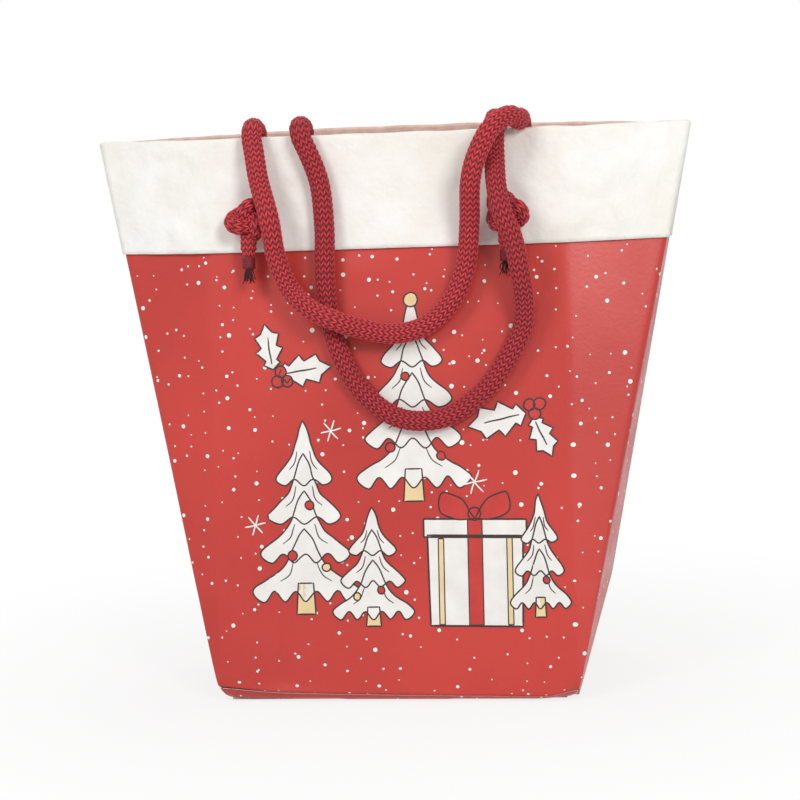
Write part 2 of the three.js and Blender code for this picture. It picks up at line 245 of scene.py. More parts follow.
mottle = bpy.data.node_groups.new("mottle", "ShaderNodeTree")
for socket in ("Scale", "Detail", "Low", "High"):
    mottle.interface.new_socket(socket, in_out="INPUT", socket_type="NodeSocketFloat")
mottle.interface.new_socket("Value", in_out="OUTPUT", socket_type="NodeSocketFloat")
nodes, links = mottle.nodes, mottle.links
given = nodes.new("NodeGroupInput")
place = nodes.new("ShaderNodeTexCoord")
cloud = nodes.new("ShaderNodeTexNoise")
spread = nodes.new("ShaderNodeMapRange")
result = nodes.new("NodeGroupOutput")
links.new(place.outputs["Object"], cloud.inputs["Vector"])
links.new(given.outputs["Scale"], cloud.inputs["Scale"])
links.new(given.outputs["Detail"], cloud.inputs["Detail"])
links.new(cloud.outputs["Fac"], spread.inputs["Value"])
links.new(given.outputs["Low"], spread.inputs["From Min"])
links.new(given.outputs["High"], spread.inputs["From Max"])
links.new(spread.outputs["Result"], result.inputs["Value"])


def noise_value(nodes, scale, detail=3.0, low=0.3, high=0.7):
    """The mottle group in a material: soft noise stretched to run from 0 to 1."""
    patch = nodes.new("ShaderNodeGroup")
    patch.node_tree = mottle
    patch.inputs["Scale"].default_value = scale
    patch.inputs["Detail"].default_value = detail
    patch.inputs["Low"].default_value = low
    patch.inputs["High"].default_value = high
    return patch.outputs["Value"]


def rope_cotton(name, painted_groove_shade, painted_crest_highlight, tone):
    """Dyed cotton braid, with painted shade where strands dip, a painted highlight on their crests, and
    loose fibre.
    """
    material, nodes, links, shader = new_finish(name)
    lift = nodes.new("ShaderNodeAttribute")
    lift.attribute_name = "braid_height"
    curve = nodes.new("ShaderNodeMath")
    curve.operation = "POWER"
    curve.inputs[1].default_value = 1.2
    links.new(lift.outputs["Fac"], curve.inputs[0])
    # The braid height picks the colour: painted shade in the grooves and a painted highlight on the crests.
    body = mixed(nodes, links, curve.outputs["Value"], painted_groove_shade, painted_crest_highlight)
    worn = mixed(nodes, links, noise_value(nodes, 900, 2), tone, (1, 1, 1))
    tint = nodes.new("ShaderNodeMix")
    tint.data_type = "RGBA"
    tint.blend_type = "MULTIPLY"
    tint.inputs["Factor"].default_value = 1
    links.new(body.outputs["Result"], tint.inputs["A"])
    links.new(worn.outputs["Result"], tint.inputs["B"])
    links.new(tint.outputs["Result"], shader.inputs["Base Color"])
    fibre = bumped(nodes, links, noise_value(nodes, 2600, 1), 0.00012)
    links.new(fibre.outputs["Normal"], shader.inputs["Normal"])
    shader.inputs["Roughness"].default_value = 0.78
    shader.inputs["Sheen Weight"].default_value = 0.12
    shader.inputs["Sheen Roughness"].default_value = 0.4
    return material


FIBRE_TONE = (0.86, 0.78, 0.8)
# Both ropes are the same cotton; the back one is given darker colours as painted shade.
front_cotton = rope_cotton("front_rope_cotton", (0.05, 0.001, 0.002), (0.95, 0.065, 0.085), FIBRE_TONE)
back_shaded_cotton = rope_cotton("back_rope_cotton_painted_shade", (0.04, 0.001, 0.002), (0.8, 0.048, 0.066), FIBRE_TONE)

FRONT_ROUTE = [
    (-0.0746, -0.0084, -0.001), (-0.0732, -0.011, -0.007), (-0.0695, -0.0165, -0.025),
    (-0.063, -0.022, -0.047), (-0.0604, -0.0165, -0.068), (-0.053, -0.0135, -0.086),
    (-0.042, -0.0186, -0.097), (-0.03, -0.0204, -0.103), (-0.016, -0.0156, -0.108),
    (0.004, -0.009, -0.1115), (0.022, -0.0074, -0.107), (0.036, -0.0076, -0.094),
    (0.044, -0.0086, -0.076), (0.0474, -0.0145, -0.052), (0.0494, -0.0242, -0.03),
    (0.0536, -0.027, -0.016), (0.0615, -0.0256, -0.0015), (0.0704, -0.0165, 0.006),
]
BACK_ROUTE = [
    (-0.0466, -0.0082, -0.001), (-0.043, -0.0084, -0.009), (-0.037, -0.0078, -0.026),
    (-0.0346, -0.0078, -0.05), (-0.0348, -0.007, -0.078), (-0.033, -0.0064, -0.1),
    (-0.0275, -0.0066, -0.121), (-0.015, -0.0066, -0.143), (0.005, -0.0064, -0.158),
    (0.03, -0.0064, -0.1585), (0.052, -0.0064, -0.145), (0.066, -0.0066, -0.127),
    (0.075, -0.0076, -0.109), (0.0764, -0.012, -0.097), (0.0754, -0.0206, -0.082),
    (0.072, -0.0266, -0.062), (0.0665, -0.0286, -0.047), (0.0636, -0.0245, -0.033),
    (0.0622, -0.0166, -0.019), (0.0617, -0.0124, -0.009), (0.0615, -0.0088, -0.001),
]
BACK_RIM_LEFT = -0.048
BACK_RIM_RIGHT = 0.0615
FRONT_RIM = 0.075

front_bend_left = [(-FRONT_RIM, 0.0111, -0.0077), (-FRONT_RIM, 0.0108, -0.0005)] + rim_inside(-FRONT_RIM)
front_bend_right = [(FRONT_RIM, 0.0111, -0.0077), (FRONT_RIM, 0.0108, -0.0005)] + rim_inside(FRONT_RIM)
front_way = front_bend_left + rim_outside(-FRONT_RIM) + FRONT_ROUTE
front_way += rim_outside(FRONT_RIM)[::-1] + front_bend_right[::-1]
back_bend_left = [(BACK_RIM_LEFT, 0.01395, -0.0044), (BACK_RIM_LEFT, 0.0121, -0.0012)]
back_bend_left += rim_inside(BACK_RIM_LEFT)
back_bend_right = [(BACK_RIM_RIGHT, 0.01395, -0.0044), (BACK_RIM_RIGHT, 0.0121, -0.0012)]
back_bend_right += rim_inside(BACK_RIM_RIGHT)
back_way = back_bend_left + rim_outside(BACK_RIM_LEFT) + BACK_ROUTE
back_way += rim_outside(BACK_RIM_RIGHT)[::-1] + back_bend_right[::-1]

loops = {}
for handle, way, cotton in (("front", front_way, front_cotton), ("back", back_way, back_shaded_cotton)):
    line, run = smooth_line([on_front(*p) for p in way], RING_STEP)
    loop = braided_rope(f"{handle}_rope_loop", line, run, ROPE_RADIUS, BRAID_COLUMNS, cotton)
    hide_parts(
        f"{handle}_handle_loop", f"{handle}_handle_bend_left", f"{handle}_handle_bend_right"
    )
    loops[handle] = (loop, line, run)

for side, sign in (("left", -1), ("right", 1)):
    way = hole_turn(sign * HOLE_X) + [
        (sign * 0.0725, 0.0113, -0.026), (sign * FRONT_RIM, 0.0111, -0.013),
        (sign * FRONT_RIM, 0.0111, -0.0074),
    ]
    line, run = smooth_line([on_front(*p) for p in way], RING_STEP)
    leg = braided_rope(f"front_rope_leg_{side}", line, run, ROPE_RADIUS, BRAID_COLUMNS, front_cotton)
    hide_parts(f"front_handle_leg_{side}")
    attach(leg, "front_wall")

for side, sign, rim_x in (("left", -1, BACK_RIM_LEFT), ("right", 1, BACK_RIM_RIGHT)):
    way = [on_back(*p) for p in hole_turn(-sign * HOLE_X)]
    way += [on_back(-(sign * 0.049 + rim_x * 0.3), 0.0111, -0.028)]
    way += [on_front(sign * 0.021 + rim_x * 0.7, 0.0214, -0.015)]
    way += [on_front(rim_x, 0.0164, -0.0085), on_front(rim_x, 0.0138, -0.0042)]
    line, run = smooth_line(way, RING_STEP)
    leg = braided_rope(f"back_rope_leg_{side}", line, run, ROPE_RADIUS, BRAID_COLUMNS, back_shaded_cotton)
    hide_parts(f"back_handle_leg_{side}")
    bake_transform(leg)

# Knots, whippings and frayed ends
# Each rope stops outside its hole in an overhand knot. The 15 mm left over is bound with a few
# turns of dark thread and its end is teased out into loose yarns.
KNOT_OUT = 0.0109
KNOT_REACH = 0.0034
KNOT_ROPE = 0.0046
KNOT_COLUMNS = 16
NECK_TOP = -0.009
NECK_LOW = -0.0235
THREAD_TURNS = 7
THREAD_TOP = -0.0213
THREAD_RUN = 0.0056
THREAD_RADIUS = 0.0031
YARNS = 26
YARN_RADIUS = 0.0004

wound_thread, nodes, links, shader = new_finish("wound_thread")
shade = mixed(nodes, links, noise_value(nodes, 1500, 2), (0.1, 0.006, 0.012), (0.24, 0.012, 0.025))
links.new(shade.outputs["Result"], shader.inputs["Base Color"])
twist = bumped(nodes, links, noise_value(nodes, 4000, 1), 0.00005)
links.new(twist.outputs["Normal"], shader.inputs["Normal"])
shader.inputs["Roughness"].default_value = 0.6

draw = np.random.default_rng(7)


def knot_line():
    """The run of an overhand knot pulled tight, round its own middle."""
    t = np.linspace(0, math.tau, 190, endpoint=False)
    line = np.stack([
        np.sin(t) + 2 * np.sin(2 * t), -1.05 * np.sin(3 * t), np.cos(t) - 2 * np.cos(2 * t)
    ], axis=1)
    return line * KNOT_REACH * np.array((0.92, 0.95, 0.8))


def yarn_bundle(name, base, down, across, out, material):
    """Loose yarns that spread from the foot of the whipping."""
    vertices, faces = [], []
    for _ in range(YARNS):
        angle, spread = draw.uniform(0, math.tau), draw.uniform(0.2, 1.0)
        lean = across * math.cos(angle) * spread + out * math.sin(angle) * spread
        wave = across * draw.normal(0, 0.0009) + out * draw.normal(0, 0.0009)
        length = draw.uniform(0.0055, 0.0088)
        steps = np.linspace(0, 1, 7)
        line = np.array([
            base + lean * (0.0019 + 0.0024 * s * s) + down * (length * s) + wave * math.sin(3 * s)
            for s in steps
        ])
        sides, ups = ring_frames(line)
        start = len(vertices)
        for place, side, up, s in zip(line, sides, ups, steps):
            for k in range(5):
                turn = math.tau * k / 5
                girth = YARN_RADIUS * (1.1 - 0.6 * s)
                vertices.append(place + (side * math.cos(turn) + up * math.sin(turn)) * girth)
        faces += [tuple(start + i for i in face) for face in tube_faces(7, 5)]
    return new_object(name, vertices, faces, material)


rope_ends = {"front": [], "back": []}
knot_places = {
    ("front", "left"): (on_front, -0.077), ("front", "right"): (on_front, 0.067),
    ("back", "left"): (on_back, 0.07), ("back", "right"): (on_back, -0.07),
}
for (wall, side), (place, x) in knot_places.items():
    cotton = front_cotton if wall == "front" else back_shaded_cotton
    body = "front_wall" if wall == "front" else "root"
    middle = place(x, -KNOT_OUT, -HOLE_DROP)
    across = np.array(place(x + 1, -KNOT_OUT, -HOLE_DROP) - middle)
    out = np.array(place(x, -KNOT_OUT - 1, -HOLE_DROP) - middle)
    up = np.array(place(x, -KNOT_OUT, -HOLE_DROP + 1) - middle)
    middle = np.array(middle)
    swing = (0.5 if side == "left" else -0.7) + (0.3 if wall == "back" else 0)
    flat = knot_line()
    line = middle + flat[:, :1] * (across * math.cos(swing) + up * math.sin(swing))
    line = line + flat[:, 1:2] * out + flat[:, 2:] * (up * math.cos(swing) - across * math.sin(swing))
    run = np.concatenate([[0], np.cumsum(np.linalg.norm(np.diff(line, axis=0), axis=1))])
    knot = braided_rope(f"rope_knot_{wall}_{side}", line, run, KNOT_ROPE, KNOT_COLUMNS, cotton, closed=True)
    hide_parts(f"knot_{wall}_{side}")
    tail_steps = np.linspace(NECK_TOP, NECK_LOW - 0.004, 40)
    waist = np.interp(-tail_steps, [0.009, 0.0165, 0.0205, 0.026, 0.0275], [1.0, 1.0, 0.62, 0.58, 0.5])
    tail_line = np.array([middle + up * s for s in tail_steps])
    tail = braided_rope(
        f"rope_tail_{wall}_{side}", tail_line, -tail_steps + NECK_TOP, 0.0046, KNOT_COLUMNS, cotton,
        widen=waist,
    )
    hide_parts(f"rope_end_{wall}_{side}")
    foot = middle + up * (NECK_LOW - 0.0035)
    fray = yarn_bundle(f"rope_fray_{wall}_{side}", foot, -up, across, out, cotton)
    t = np.linspace(0, 1, 24 * THREAD_TURNS)
    whole_turn = math.tau * THREAD_TURNS
    coil = np.array([
        middle + up * (THREAD_TOP - THREAD_RUN * s)
        + (across * math.cos(whole_turn * s) + out * math.sin(whole_turn * s)) * THREAD_RADIUS
        for s in t
    ])
    sides, ups = ring_frames(coil)
    rings = [
        coil + (sides * math.cos(math.tau * k / 8) + ups * math.sin(math.tau * k / 8)) * 0.00058
        for k in range(8)
    ]
    binding = new_object(
        f"thread_whipping_{wall}_{side}", np.stack(rings, axis=1).reshape(-1, 3),
        tube_faces(len(coil), 8), wound_thread,
    )
    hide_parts(f"whipping_{wall}_{side}")
    for piece in (knot, tail, fray, binding):
        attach(piece, body)
        rope_ends[wall].append(piece)

for handle, (loop, line, run) in loops.items():
    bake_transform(loop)

# Bag sheet
# One sheet of coated card, printed on its outside and folded into two walls, two gussets and two
# foot triangles, so it is one soft-edged shell here. Its creases are rounded and its faces buckle.
FOOT_OUT = 0.018
FOOT_UP = 0.06
GUSSET_SPREAD = 0.06765
CARD_THICKNESS = 0.0005
ROW_COUNT = 104
WALL_CELLS = 66
UPPER_CELLS = 22
LOWER_CELLS = 16
FOOT_CELLS = 24
FLOOR_LIFT = 0.0004


def corner_ring(z):
    """Corner points of the folded sheet at one height, from the back left crease clockwise from above."""
    gap = BASE_HALF_DEPTH - (BASE_HALF_DEPTH - RIM_HALF_GAP) * z / RIM_HEIGHT
    crease = (BASE_HALF_WIDTH, gap)
    fold = (BASE_HALF_WIDTH + GUSSET_SPREAD * z / RIM_HEIGHT, BASE_HALF_DEPTH * (1 - z / RIM_HEIGHT))
    if z < FOOT_UP:
        rise = z / FOOT_UP
        edge = (BASE_HALF_WIDTH + FOOT_OUT * rise, BASE_HALF_DEPTH * (1 - rise))
    else:
        rise = (z - FOOT_UP) / (RIM_HEIGHT - FOOT_UP)
        edge = (BASE_HALF_WIDTH + FOOT_OUT + (GUSSET_SPREAD - FOOT_OUT) * rise, 0.0)
    quarter = [crease, fold, edge]
    right_front = [(x, -y) for x, y in quarter]
    right_back = [(x, y) for x, y in reversed(quarter)]
    left_back = [(-x, y) for x, y in quarter]
    left_front = [(-x, -y) for x, y in reversed(quarter)]
    return left_back + left_front + right_front + right_back


SPANS = [
    UPPER_CELLS, LOWER_CELLS, FOOT_CELLS, LOWER_CELLS, UPPER_CELLS, WALL_CELLS,
    UPPER_CELLS, LOWER_CELLS, FOOT_CELLS, LOWER_CELLS, UPPER_CELLS, WALL_CELLS,
]


def ring_places(corners):
    """Points all round one height, and how far round the card each lies from the front's middle."""
    places, rounds = [], []
    corners = [np.array(c) for c in corners]
    total = 0.0
    for i, count in enumerate(SPANS):
        a, b = corners[i], corners[(i + 1) % 12]
        for k in range(count):
            places.append(a + (b - a) * k / count)
            rounds.append(total + np.linalg.norm(b - a) * k / count)
        total += np.linalg.norm(b - a)
    places.append(corners[0])
    rounds.append(total)
    front_middle = sum(np.linalg.norm(corners[i + 1] - corners[i]) for i in range(5)) + BASE_HALF_WIDTH
    return np.array(places), np.array(rounds) - front_middle


def wall_shape(x, z):
    """How far a wall's face stands out from flat, where the card has been creased and handled."""
    up = z / RIM_HEIGHT
    wave = noise.noise(Vector((x * 11, z * 8, 0.3))) * 0.0011
    wave += noise.noise(Vector((x * 26, z * 19, 4.1))) * 0.0004
    puckered = 0.5 + noise.noise(Vector((x * 30, 0, 9)))
    under_cuff = math.exp(-((z - 0.238) / 0.007) ** 2) * puckered * 0.0009
    fold_left = -BASE_HALF_WIDTH + 0.004 + 0.021 * (1 - up) ** 0.6
    inside = (x - fold_left) / 0.011
    band = -0.0018 * inside if 0 < inside < 1 else -0.0018 * math.exp(-((x - fold_left - 0.011) / 0.009))
    band = 0.0 if inside <= 0 else band
    fold_right = 0.0009 * math.exp(-abs(x - 0.083) / 0.0016) * max(0.0, 1 - up * 1.8)
    edge = min(1.0, (BASE_HALF_WIDTH - abs(x)) / 0.02) * min(1.0, z / 0.02)
    belly = 0.0016 * math.sin(math.pi * min(1.0, z / 0.24)) * (1 - (x / BASE_HALF_WIDTH) ** 2)
    return (wave + under_cuff) * edge + band * min(1.0, z / 0.01) + fold_right + belly * edge


def rolled_up(x, y, z):
    """How far the lower front edge has rolled up off the ground, most at its left corner."""
    left = min(1.0, max(0.0, (BASE_HALF_WIDTH - x) / (2 * BASE_HALF_WIDTH)))
    return (0.002 + 0.0045 * left ** 1.5) * math.exp(-z / 0.045) * math.exp(-(y + BASE_HALF_DEPTH) / 0.0035)


verts, loops_uv, grid = [], [], []
heights = np.linspace(0, RIM_HEIGHT, ROW_COUNT + 1)
for z in heights:
    places, rounds = ring_places(corner_ring(z))
    row = []
    for (x, y), r in zip(places, rounds):
        push = 0.0
        if abs(x) <= BASE_HALF_WIDTH + 1e-6 and abs(y) > 0.005:
            push = wall_shape(x if y < 0 else -x, z)
        elif z > FOOT_UP:
            push = noise.noise(Vector((x * 14, z * 12, y * 10))) * 0.0006
        direction = -1 if y < 0 else 1
        row.append(len(verts))
        verts.append((x, y + direction * push, max(z, FLOOR_LIFT) + rolled_up(x, y, z)))
        loops_uv.append((r, z / math.cos(LEAN)))
    grid.append(row)
faces = [
    (low[j], low[j + 1], high[j + 1], high[j])
    for low, high in zip(grid, grid[1:]) for j in range(len(low) - 1)
]


def coated_card(name):
    """Gloss-coated red print with falling snow, a little uneven in tone."""
    material, nodes, links, shader = new_finish(name)
    flat = nodes.new("ShaderNodeUVMap")
    flat.uv_map = "sheet"
    tone = mixed(nodes, links, noise_value(nodes, 9, 3), (0.48, 0.032, 0.024), (0.6, 0.046, 0.034))
    colour = tone.outputs["Result"]
    for scale, keep, small, large in ((62, 0.62, 0.045, 0.085), (100, 0.5, 0.04, 0.07)):
        cells = nodes.new("ShaderNodeTexVoronoi")
        cells.voronoi_dimensions = "2D"
        cells.inputs["Scale"].default_value = scale
        cells.inputs["Randomness"].default_value = 0.95
        links.new(flat.outputs["UV"], cells.inputs["Vector"])
        parts = nodes.new("ShaderNodeSeparateColor")
        links.new(cells.outputs["Color"], parts.inputs["Color"])
        size = nodes.new("ShaderNodeMapRange")
        size.inputs["To Min"].default_value = small
        size.inputs["To Max"].default_value = large
        links.new(parts.outputs["Green"], size.inputs["Value"])
        chosen = nodes.new("ShaderNodeMath")
        chosen.operation = "LESS_THAN"
        chosen.inputs[1].default_value = keep
        links.new(parts.outputs["Red"], chosen.inputs[0])
        reach = nodes.new("ShaderNodeMath")
        reach.operation = "MULTIPLY"
        links.new(chosen.outputs["Value"], reach.inputs[0])
        links.new(size.outputs["Result"], reach.inputs[1])
        for grow, paint in ((1.28, (0.33, 0.03, 0.025)), (1.0, (0.9, 0.86, 0.8))):
            near = nodes.new("ShaderNodeMath")
            near.operation = "MULTIPLY"
            near.inputs[1].default_value = grow
            links.new(reach.outputs["Value"], near.inputs[0])
            dot = nodes.new("ShaderNodeMath")
            dot.operation = "LESS_THAN"
            links.new(cells.outputs["Distance"], dot.inputs[0])
            links.new(near.outputs["Value"], dot.inputs[1])
            over = nodes.new("ShaderNodeMix")
            over.data_type = "RGBA"
            over.inputs["B"].default_value = (*paint, 1)
            links.new(dot.outputs["Value"], over.inputs["Factor"])
            links.new(colour, over.inputs["A"])
            colour = over.outputs["Result"]
    links.new(colour, shader.inputs["Base Color"])
    rough = nodes.new("ShaderNodeMapRange")
    rough.inputs["To Min"].default_value = 0.3
    rough.inputs["To Max"].default_value = 0.42
    links.new(noise_value(nodes, 40, 4), rough.inputs["Value"])
    links.new(rough.outputs["Result"], shader.inputs["Roughness"])
    grain = bumped(nodes, links, noise_value(nodes, 500, 3), 0.00003)
    links.new(grain.outputs["Normal"], shader.inputs["Normal"])
    return material


def plain_card(name, dark, light, roughness, grain_depth=0.00006):
    """Uncoated card or board: short fibres and a soft unevenness."""
    material, nodes, links, shader = new_finish(name)
    tone = mixed(nodes, links, noise_value(nodes, 160, 6), dark, light)
    links.new(tone.outputs["Result"], shader.inputs["Base Color"])
    grain = bumped(nodes, links, noise_value(nodes, 900, 4), grain_depth)
    links.new(grain.outputs["Normal"], shader.inputs["Normal"])
    shader.inputs["Roughness"].default_value = roughness
    return material


printed_card = coated_card("printed_card")
card_inside = plain_card("card_inside", (0.6, 0.56, 0.5), (0.68, 0.64, 0.58), 0.8)

mesh = bpy.data.meshes.new("bag_sheet")
mesh.from_pydata(verts, [], faces)
uv = mesh.uv_layers.new(name="sheet")
corner_vertex = np.zeros(len(mesh.loops), int)
mesh.loops.foreach_get("vertex_index", corner_vertex)
uv.data.foreach_set("uv", np.array(loops_uv, np.float32)[corner_vertex].ravel())
bag = bpy.data.objects.new("bag_sheet", mesh)
scene.collection.objects.link(bag)
shell = bmesh.new()
shell.from_mesh(mesh)
bmesh.ops.remove_doubles(shell, verts=shell.verts, dist=2e-5)
bmesh.ops.dissolve_degenerate(shell, edges=shell.edges, dist=1e-6)
shell.to_mesh(mesh)
shell.free()


def soften(mesh, rounds, keep):
    """Evens out a mesh's points, each by its own share, so that its folds turn round."""
    count = len(mesh.vertices)
    co = np.zeros(count * 3)
    mesh.vertices.foreach_get("co", co)
    co = co.reshape(-1, 3)
    pairs = np.zeros(len(mesh.edges) * 2, int)
    mesh.edges.foreach_get("vertices", pairs)
    pairs = pairs.reshape(-1, 2)
    for step in range(rounds):
        total = np.zeros((count, 3))
        number = np.zeros(count)
        for a, b in ((0, 1), (1, 0)):
            np.add.at(total, pairs[:, a], co[pairs[:, b]])
            np.add.at(number, pairs[:, a], 1)
        share = keep(co, step)[:, None]
        co = co + share * 0.5 * (total / number[:, None] - co)
    mesh.vertices.foreach_set("co", co.ravel())
    mesh.update()


def soft_folds(co, step):
    """Every fold a little, and the lower front corners much more."""
    inner = np.clip(co[:, 2] / 0.004, 0, 1) * np.clip((RIM_HEIGHT - co[:, 2]) / 0.004, 0, 1)
    share = inner * (1.0 if step < 4 else 0.0)
    for sign, reach in ((-1, 0.02), (1, 0.009)):
        corner = np.array((sign * BASE_HALF_WIDTH, -BASE_HALF_DEPTH, 0.004))
        near = np.exp(-(np.linalg.norm(co - corner, axis=1) / reach) ** 2)
        share = np.maximum(share, near * inner)
    return share


soften(mesh, 24, soft_folds)
mesh.polygons.foreach_set("use_smooth", [True] * len(mesh.polygons))
mesh.materials.append(printed_card)
mesh.materials.append(card_inside)


def thicken(obj, thickness, inner_slot):
    """Gives a one-sided sheet its thickness, inwards, as final mesh."""
    solid = obj.modifiers.new("thickness", "SOLIDIFY")
    solid.thickness = thickness
    solid.offset = -1
    solid.material_offset = inner_slot
    solid.material_offset_rim = inner_slot
    evaluated = obj.evaluated_get(bpy.context.evaluated_depsgraph_get())
    final = bpy.data.meshes.new_from_object(evaluated)
    obj.modifiers.clear()
    obj.data = final


recalc = bmesh.new()
recalc.from_mesh(mesh)
foot_line = sorted(
    (tuple(v.co) for v in recalc.verts if v.is_boundary and v.co.z < 0.03),
    key=lambda p: math.atan2(p[1], p[0]),
)
bmesh.ops.recalc_face_normals(recalc, faces=recalc.faces)
recalc.to_mesh(mesh)
recalc.free()
outside_tree = BVHTree.FromObject(bag, bpy.context.evaluated_depsgraph_get())
probe = min(mesh.polygons, key=lambda f: (f.center - Vector((0, -0.045, 0.15))).length)
if probe.normal.y > 0:
    mesh.flip_normals()
thicken(bag, CARD_THICKNESS, 1)
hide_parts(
    "front_panel", "back_panel", "gusset_front_left", "gusset_front_right", "gusset_back_left",
    "gusset_back_right", "foot_triangle_left", "foot_triangle_right",
)
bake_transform(bag)

# Printed motifs
# Hand-drawn style winter drawings in ink on the front panel: snowy firs, a wrapped present and two
# holly sprigs. Each is a skin a tenth of a millimetre thick, laid on the card where it was printed.
PRINT_LIFT = 0.00012
INK_WIDTH = 0.00085
FILL_GRID = 0.004
LAYER_STEP = 0.000002


def print_ink(name, dark, light):
    """One printed colour under the gloss coat, slightly uneven."""
    material, nodes, links, shader = new_finish(name)
    tone = mixed(nodes, links, noise_value(nodes, 70, 4), dark, light)
    links.new(tone.outputs["Result"], shader.inputs["Base Color"])
    grain = bumped(nodes, links, noise_value(nodes, 500, 3), 0.00003)
    links.new(grain.outputs["Normal"], shader.inputs["Normal"])
    shader.inputs["Roughness"].default_value = 0.36
    return material


PAINTS = {
    "snow": print_ink("print_white", (0.8, 0.78, 0.74), (0.9, 0.89, 0.86)),
    "ink": print_ink("print_ink", (0.02, 0.009, 0.009), (0.05, 0.02, 0.018)),
    "cream": print_ink("print_cream", (0.78, 0.6, 0.3), (0.86, 0.69, 0.4)),
    "red": print_ink("print_red", (0.5, 0.03, 0.026), (0.6, 0.045, 0.036)),
}
paint_order = list(PAINTS)
motif_points, motif_faces, motif_paints = [], [], []
layer = 0


def laid_down(x, up, lift):
    """A point on the printed card: across, up from the lower edge, and how far it stands off."""
    start = on_front(x, -0.05, up - WALL_LENGTH)
    inward = on_front(0, 1, 0) - on_front(0, 0, 0)
    hit = outside_tree.ray_cast(start, inward)[0]
    return hit - inward * lift


def rounded(points, step=0.001, closed=True):
    """A smooth outline through the points, with the slight shake of a pen."""
    ring = [(*p, 0.0) for p in points]
    ring = ring + ring[:1] if closed else ring
    line, _ = smooth_line(ring, step)
    shake = [
        (noise.noise(Vector((x * 130, y * 130, 1))), noise.noise(Vector((x * 130, y * 130, 8))))
        for x, y, _ in line
    ]
    line = line[:, :2] + np.array(shake) * 0.0005
    return line[:-1] if closed else line


def fill(outline, paint):
    """Fills a closed outline."""
    global layer
    layer += 1
    outline = np.array(outline)
    low, high = outline.min(0), outline.max(0)
    inner = [
        Vector((x, y)) for x in np.arange(low[0] + FILL_GRID, high[0], FILL_GRID)
        for y in np.arange(low[1] + FILL_GRID, high[1], FILL_GRID)
    ]
    coords = [Vector(p) for p in outline] + inner
    found, _, faces, _, _, _ = delaunay_2d_cdt(coords, [], [list(range(len(outline)))], 1, 1e-6)
    used = sorted({i for face in faces for i in face})
    place = {old: len(motif_points) + new for new, old in enumerate(used)}
    lift = PRINT_LIFT + layer * LAYER_STEP
    motif_points.extend(laid_down(found[i].x, found[i].y, lift) for i in used)
    motif_faces.extend(tuple(place[i] for i in face) for face in faces)
    motif_paints.extend([paint_order.index(paint)] * len(faces))


def stroke(line, width=INK_WIDTH, closed=True, paint="ink"):
    """Inks along a line, thinner at the ends of an open one."""
    global layer
    layer += 1
    line = np.array(line)
    count = len(line)
    ahead = np.roll(line, -1, 0) - np.roll(line, 1, 0)
    if not closed:
        ahead[0], ahead[-1] = line[1] - line[0], line[-1] - line[-2]
    ahead /= np.linalg.norm(ahead, axis=1)[:, None]
    side = np.stack([-ahead[:, 1], ahead[:, 0]], axis=1)
    pen = np.full(count, width / 2)
    if not closed:
        pen *= 0.35 + 0.65 * np.sin(math.pi * np.linspace(0.06, 0.94, count)) ** 0.5
    base_index = len(motif_points)
    lift = PRINT_LIFT + layer * LAYER_STEP + 0.00001
    for place, out, half in zip(line, side, pen):
        for sign in (1, -1):
            x, y = place + out * half * sign
            motif_points.append(laid_down(x, y, lift))
    for i in range(count if closed else count - 1):
        a, b = base_index + 2 * i, base_index + 2 * ((i + 1) % count)
        motif_faces.append((a, a + 1, b + 1, b))
        motif_paints.append(paint_order.index(paint))


def split_sides(corners, parts):
    """A closed outline of straight sides, each cut into this many parts."""
    return [
        np.array(a) + (np.array(b) - np.array(a)) * k / parts
        for a, b in zip(corners, corners[1:] + corners[:1]) for k in range(parts)
    ]


def disc(x, y, radius, paint):
    """A round dot with an inked edge."""
    turn = np.linspace(0, math.tau, 9)[:-1]
    outline = rounded([(x + radius * math.cos(a), y + radius * math.sin(a)) for a in turn], radius / 5)
    fill(outline, paint)
    stroke(outline)


def fir(x, foot, width, height, tiers, baubles):
    """A snow-covered fir of stacked skirts with scalloped hems."""
    trunk = width * 0.09
    trunk_sides = split_sides([
        (x - trunk, foot), (x + trunk, foot), (x + trunk * 0.8, foot + height * 0.16),
        (x - trunk * 0.8, foot + height * 0.16),
    ], 6)
    fill(trunk_sides, "cream")
    stroke(trunk_sides)
    for k in range(tiers):
        low = foot + height * (0.1 + 0.78 * k / tiers)
        top = foot + height
        if k < tiers - 1:
            top = foot + height * min(1.0, 0.1 + 0.78 * (k + 1.75) / tiers)
        half = width / 2 * (1 - 0.62 * k / tiers)
        right = [(x + half * 0.12, top - (top - low) * 0.12), (x + half * 0.42, low + (top - low) * 0.42)]
        left = [(2 * x - a, b) for a, b in reversed(right)]
        hem = []
        bumps = 5 - min(2, k)
        for i in range(bumps):
            a = 1 - 2 * i / bumps
            b = 1 - 2 * (i + 1) / bumps
            hem += [(x + half * a, low + half * 0.07), (x + half * (a + b) / 2, low - half * 0.13)]
        hem += [(x - half, low + half * 0.07)]
        outline = rounded([(x, top)] + right + hem + left)
        fill(outline, "snow")
        stroke(outline)
        for sign in (-1, 1):
            arc = [
                (x + sign * half * out, low + (top - low) * up)
                for out, up in ((0.5, 0.2), (0.32, 0.3), (0.22, 0.5))
            ]
            stroke(rounded(arc, closed=False), INK_WIDTH * 0.8, closed=False)
    for dx, up, radius, paint in baubles:
        disc(x + dx * width, foot + up * height, radius, paint)


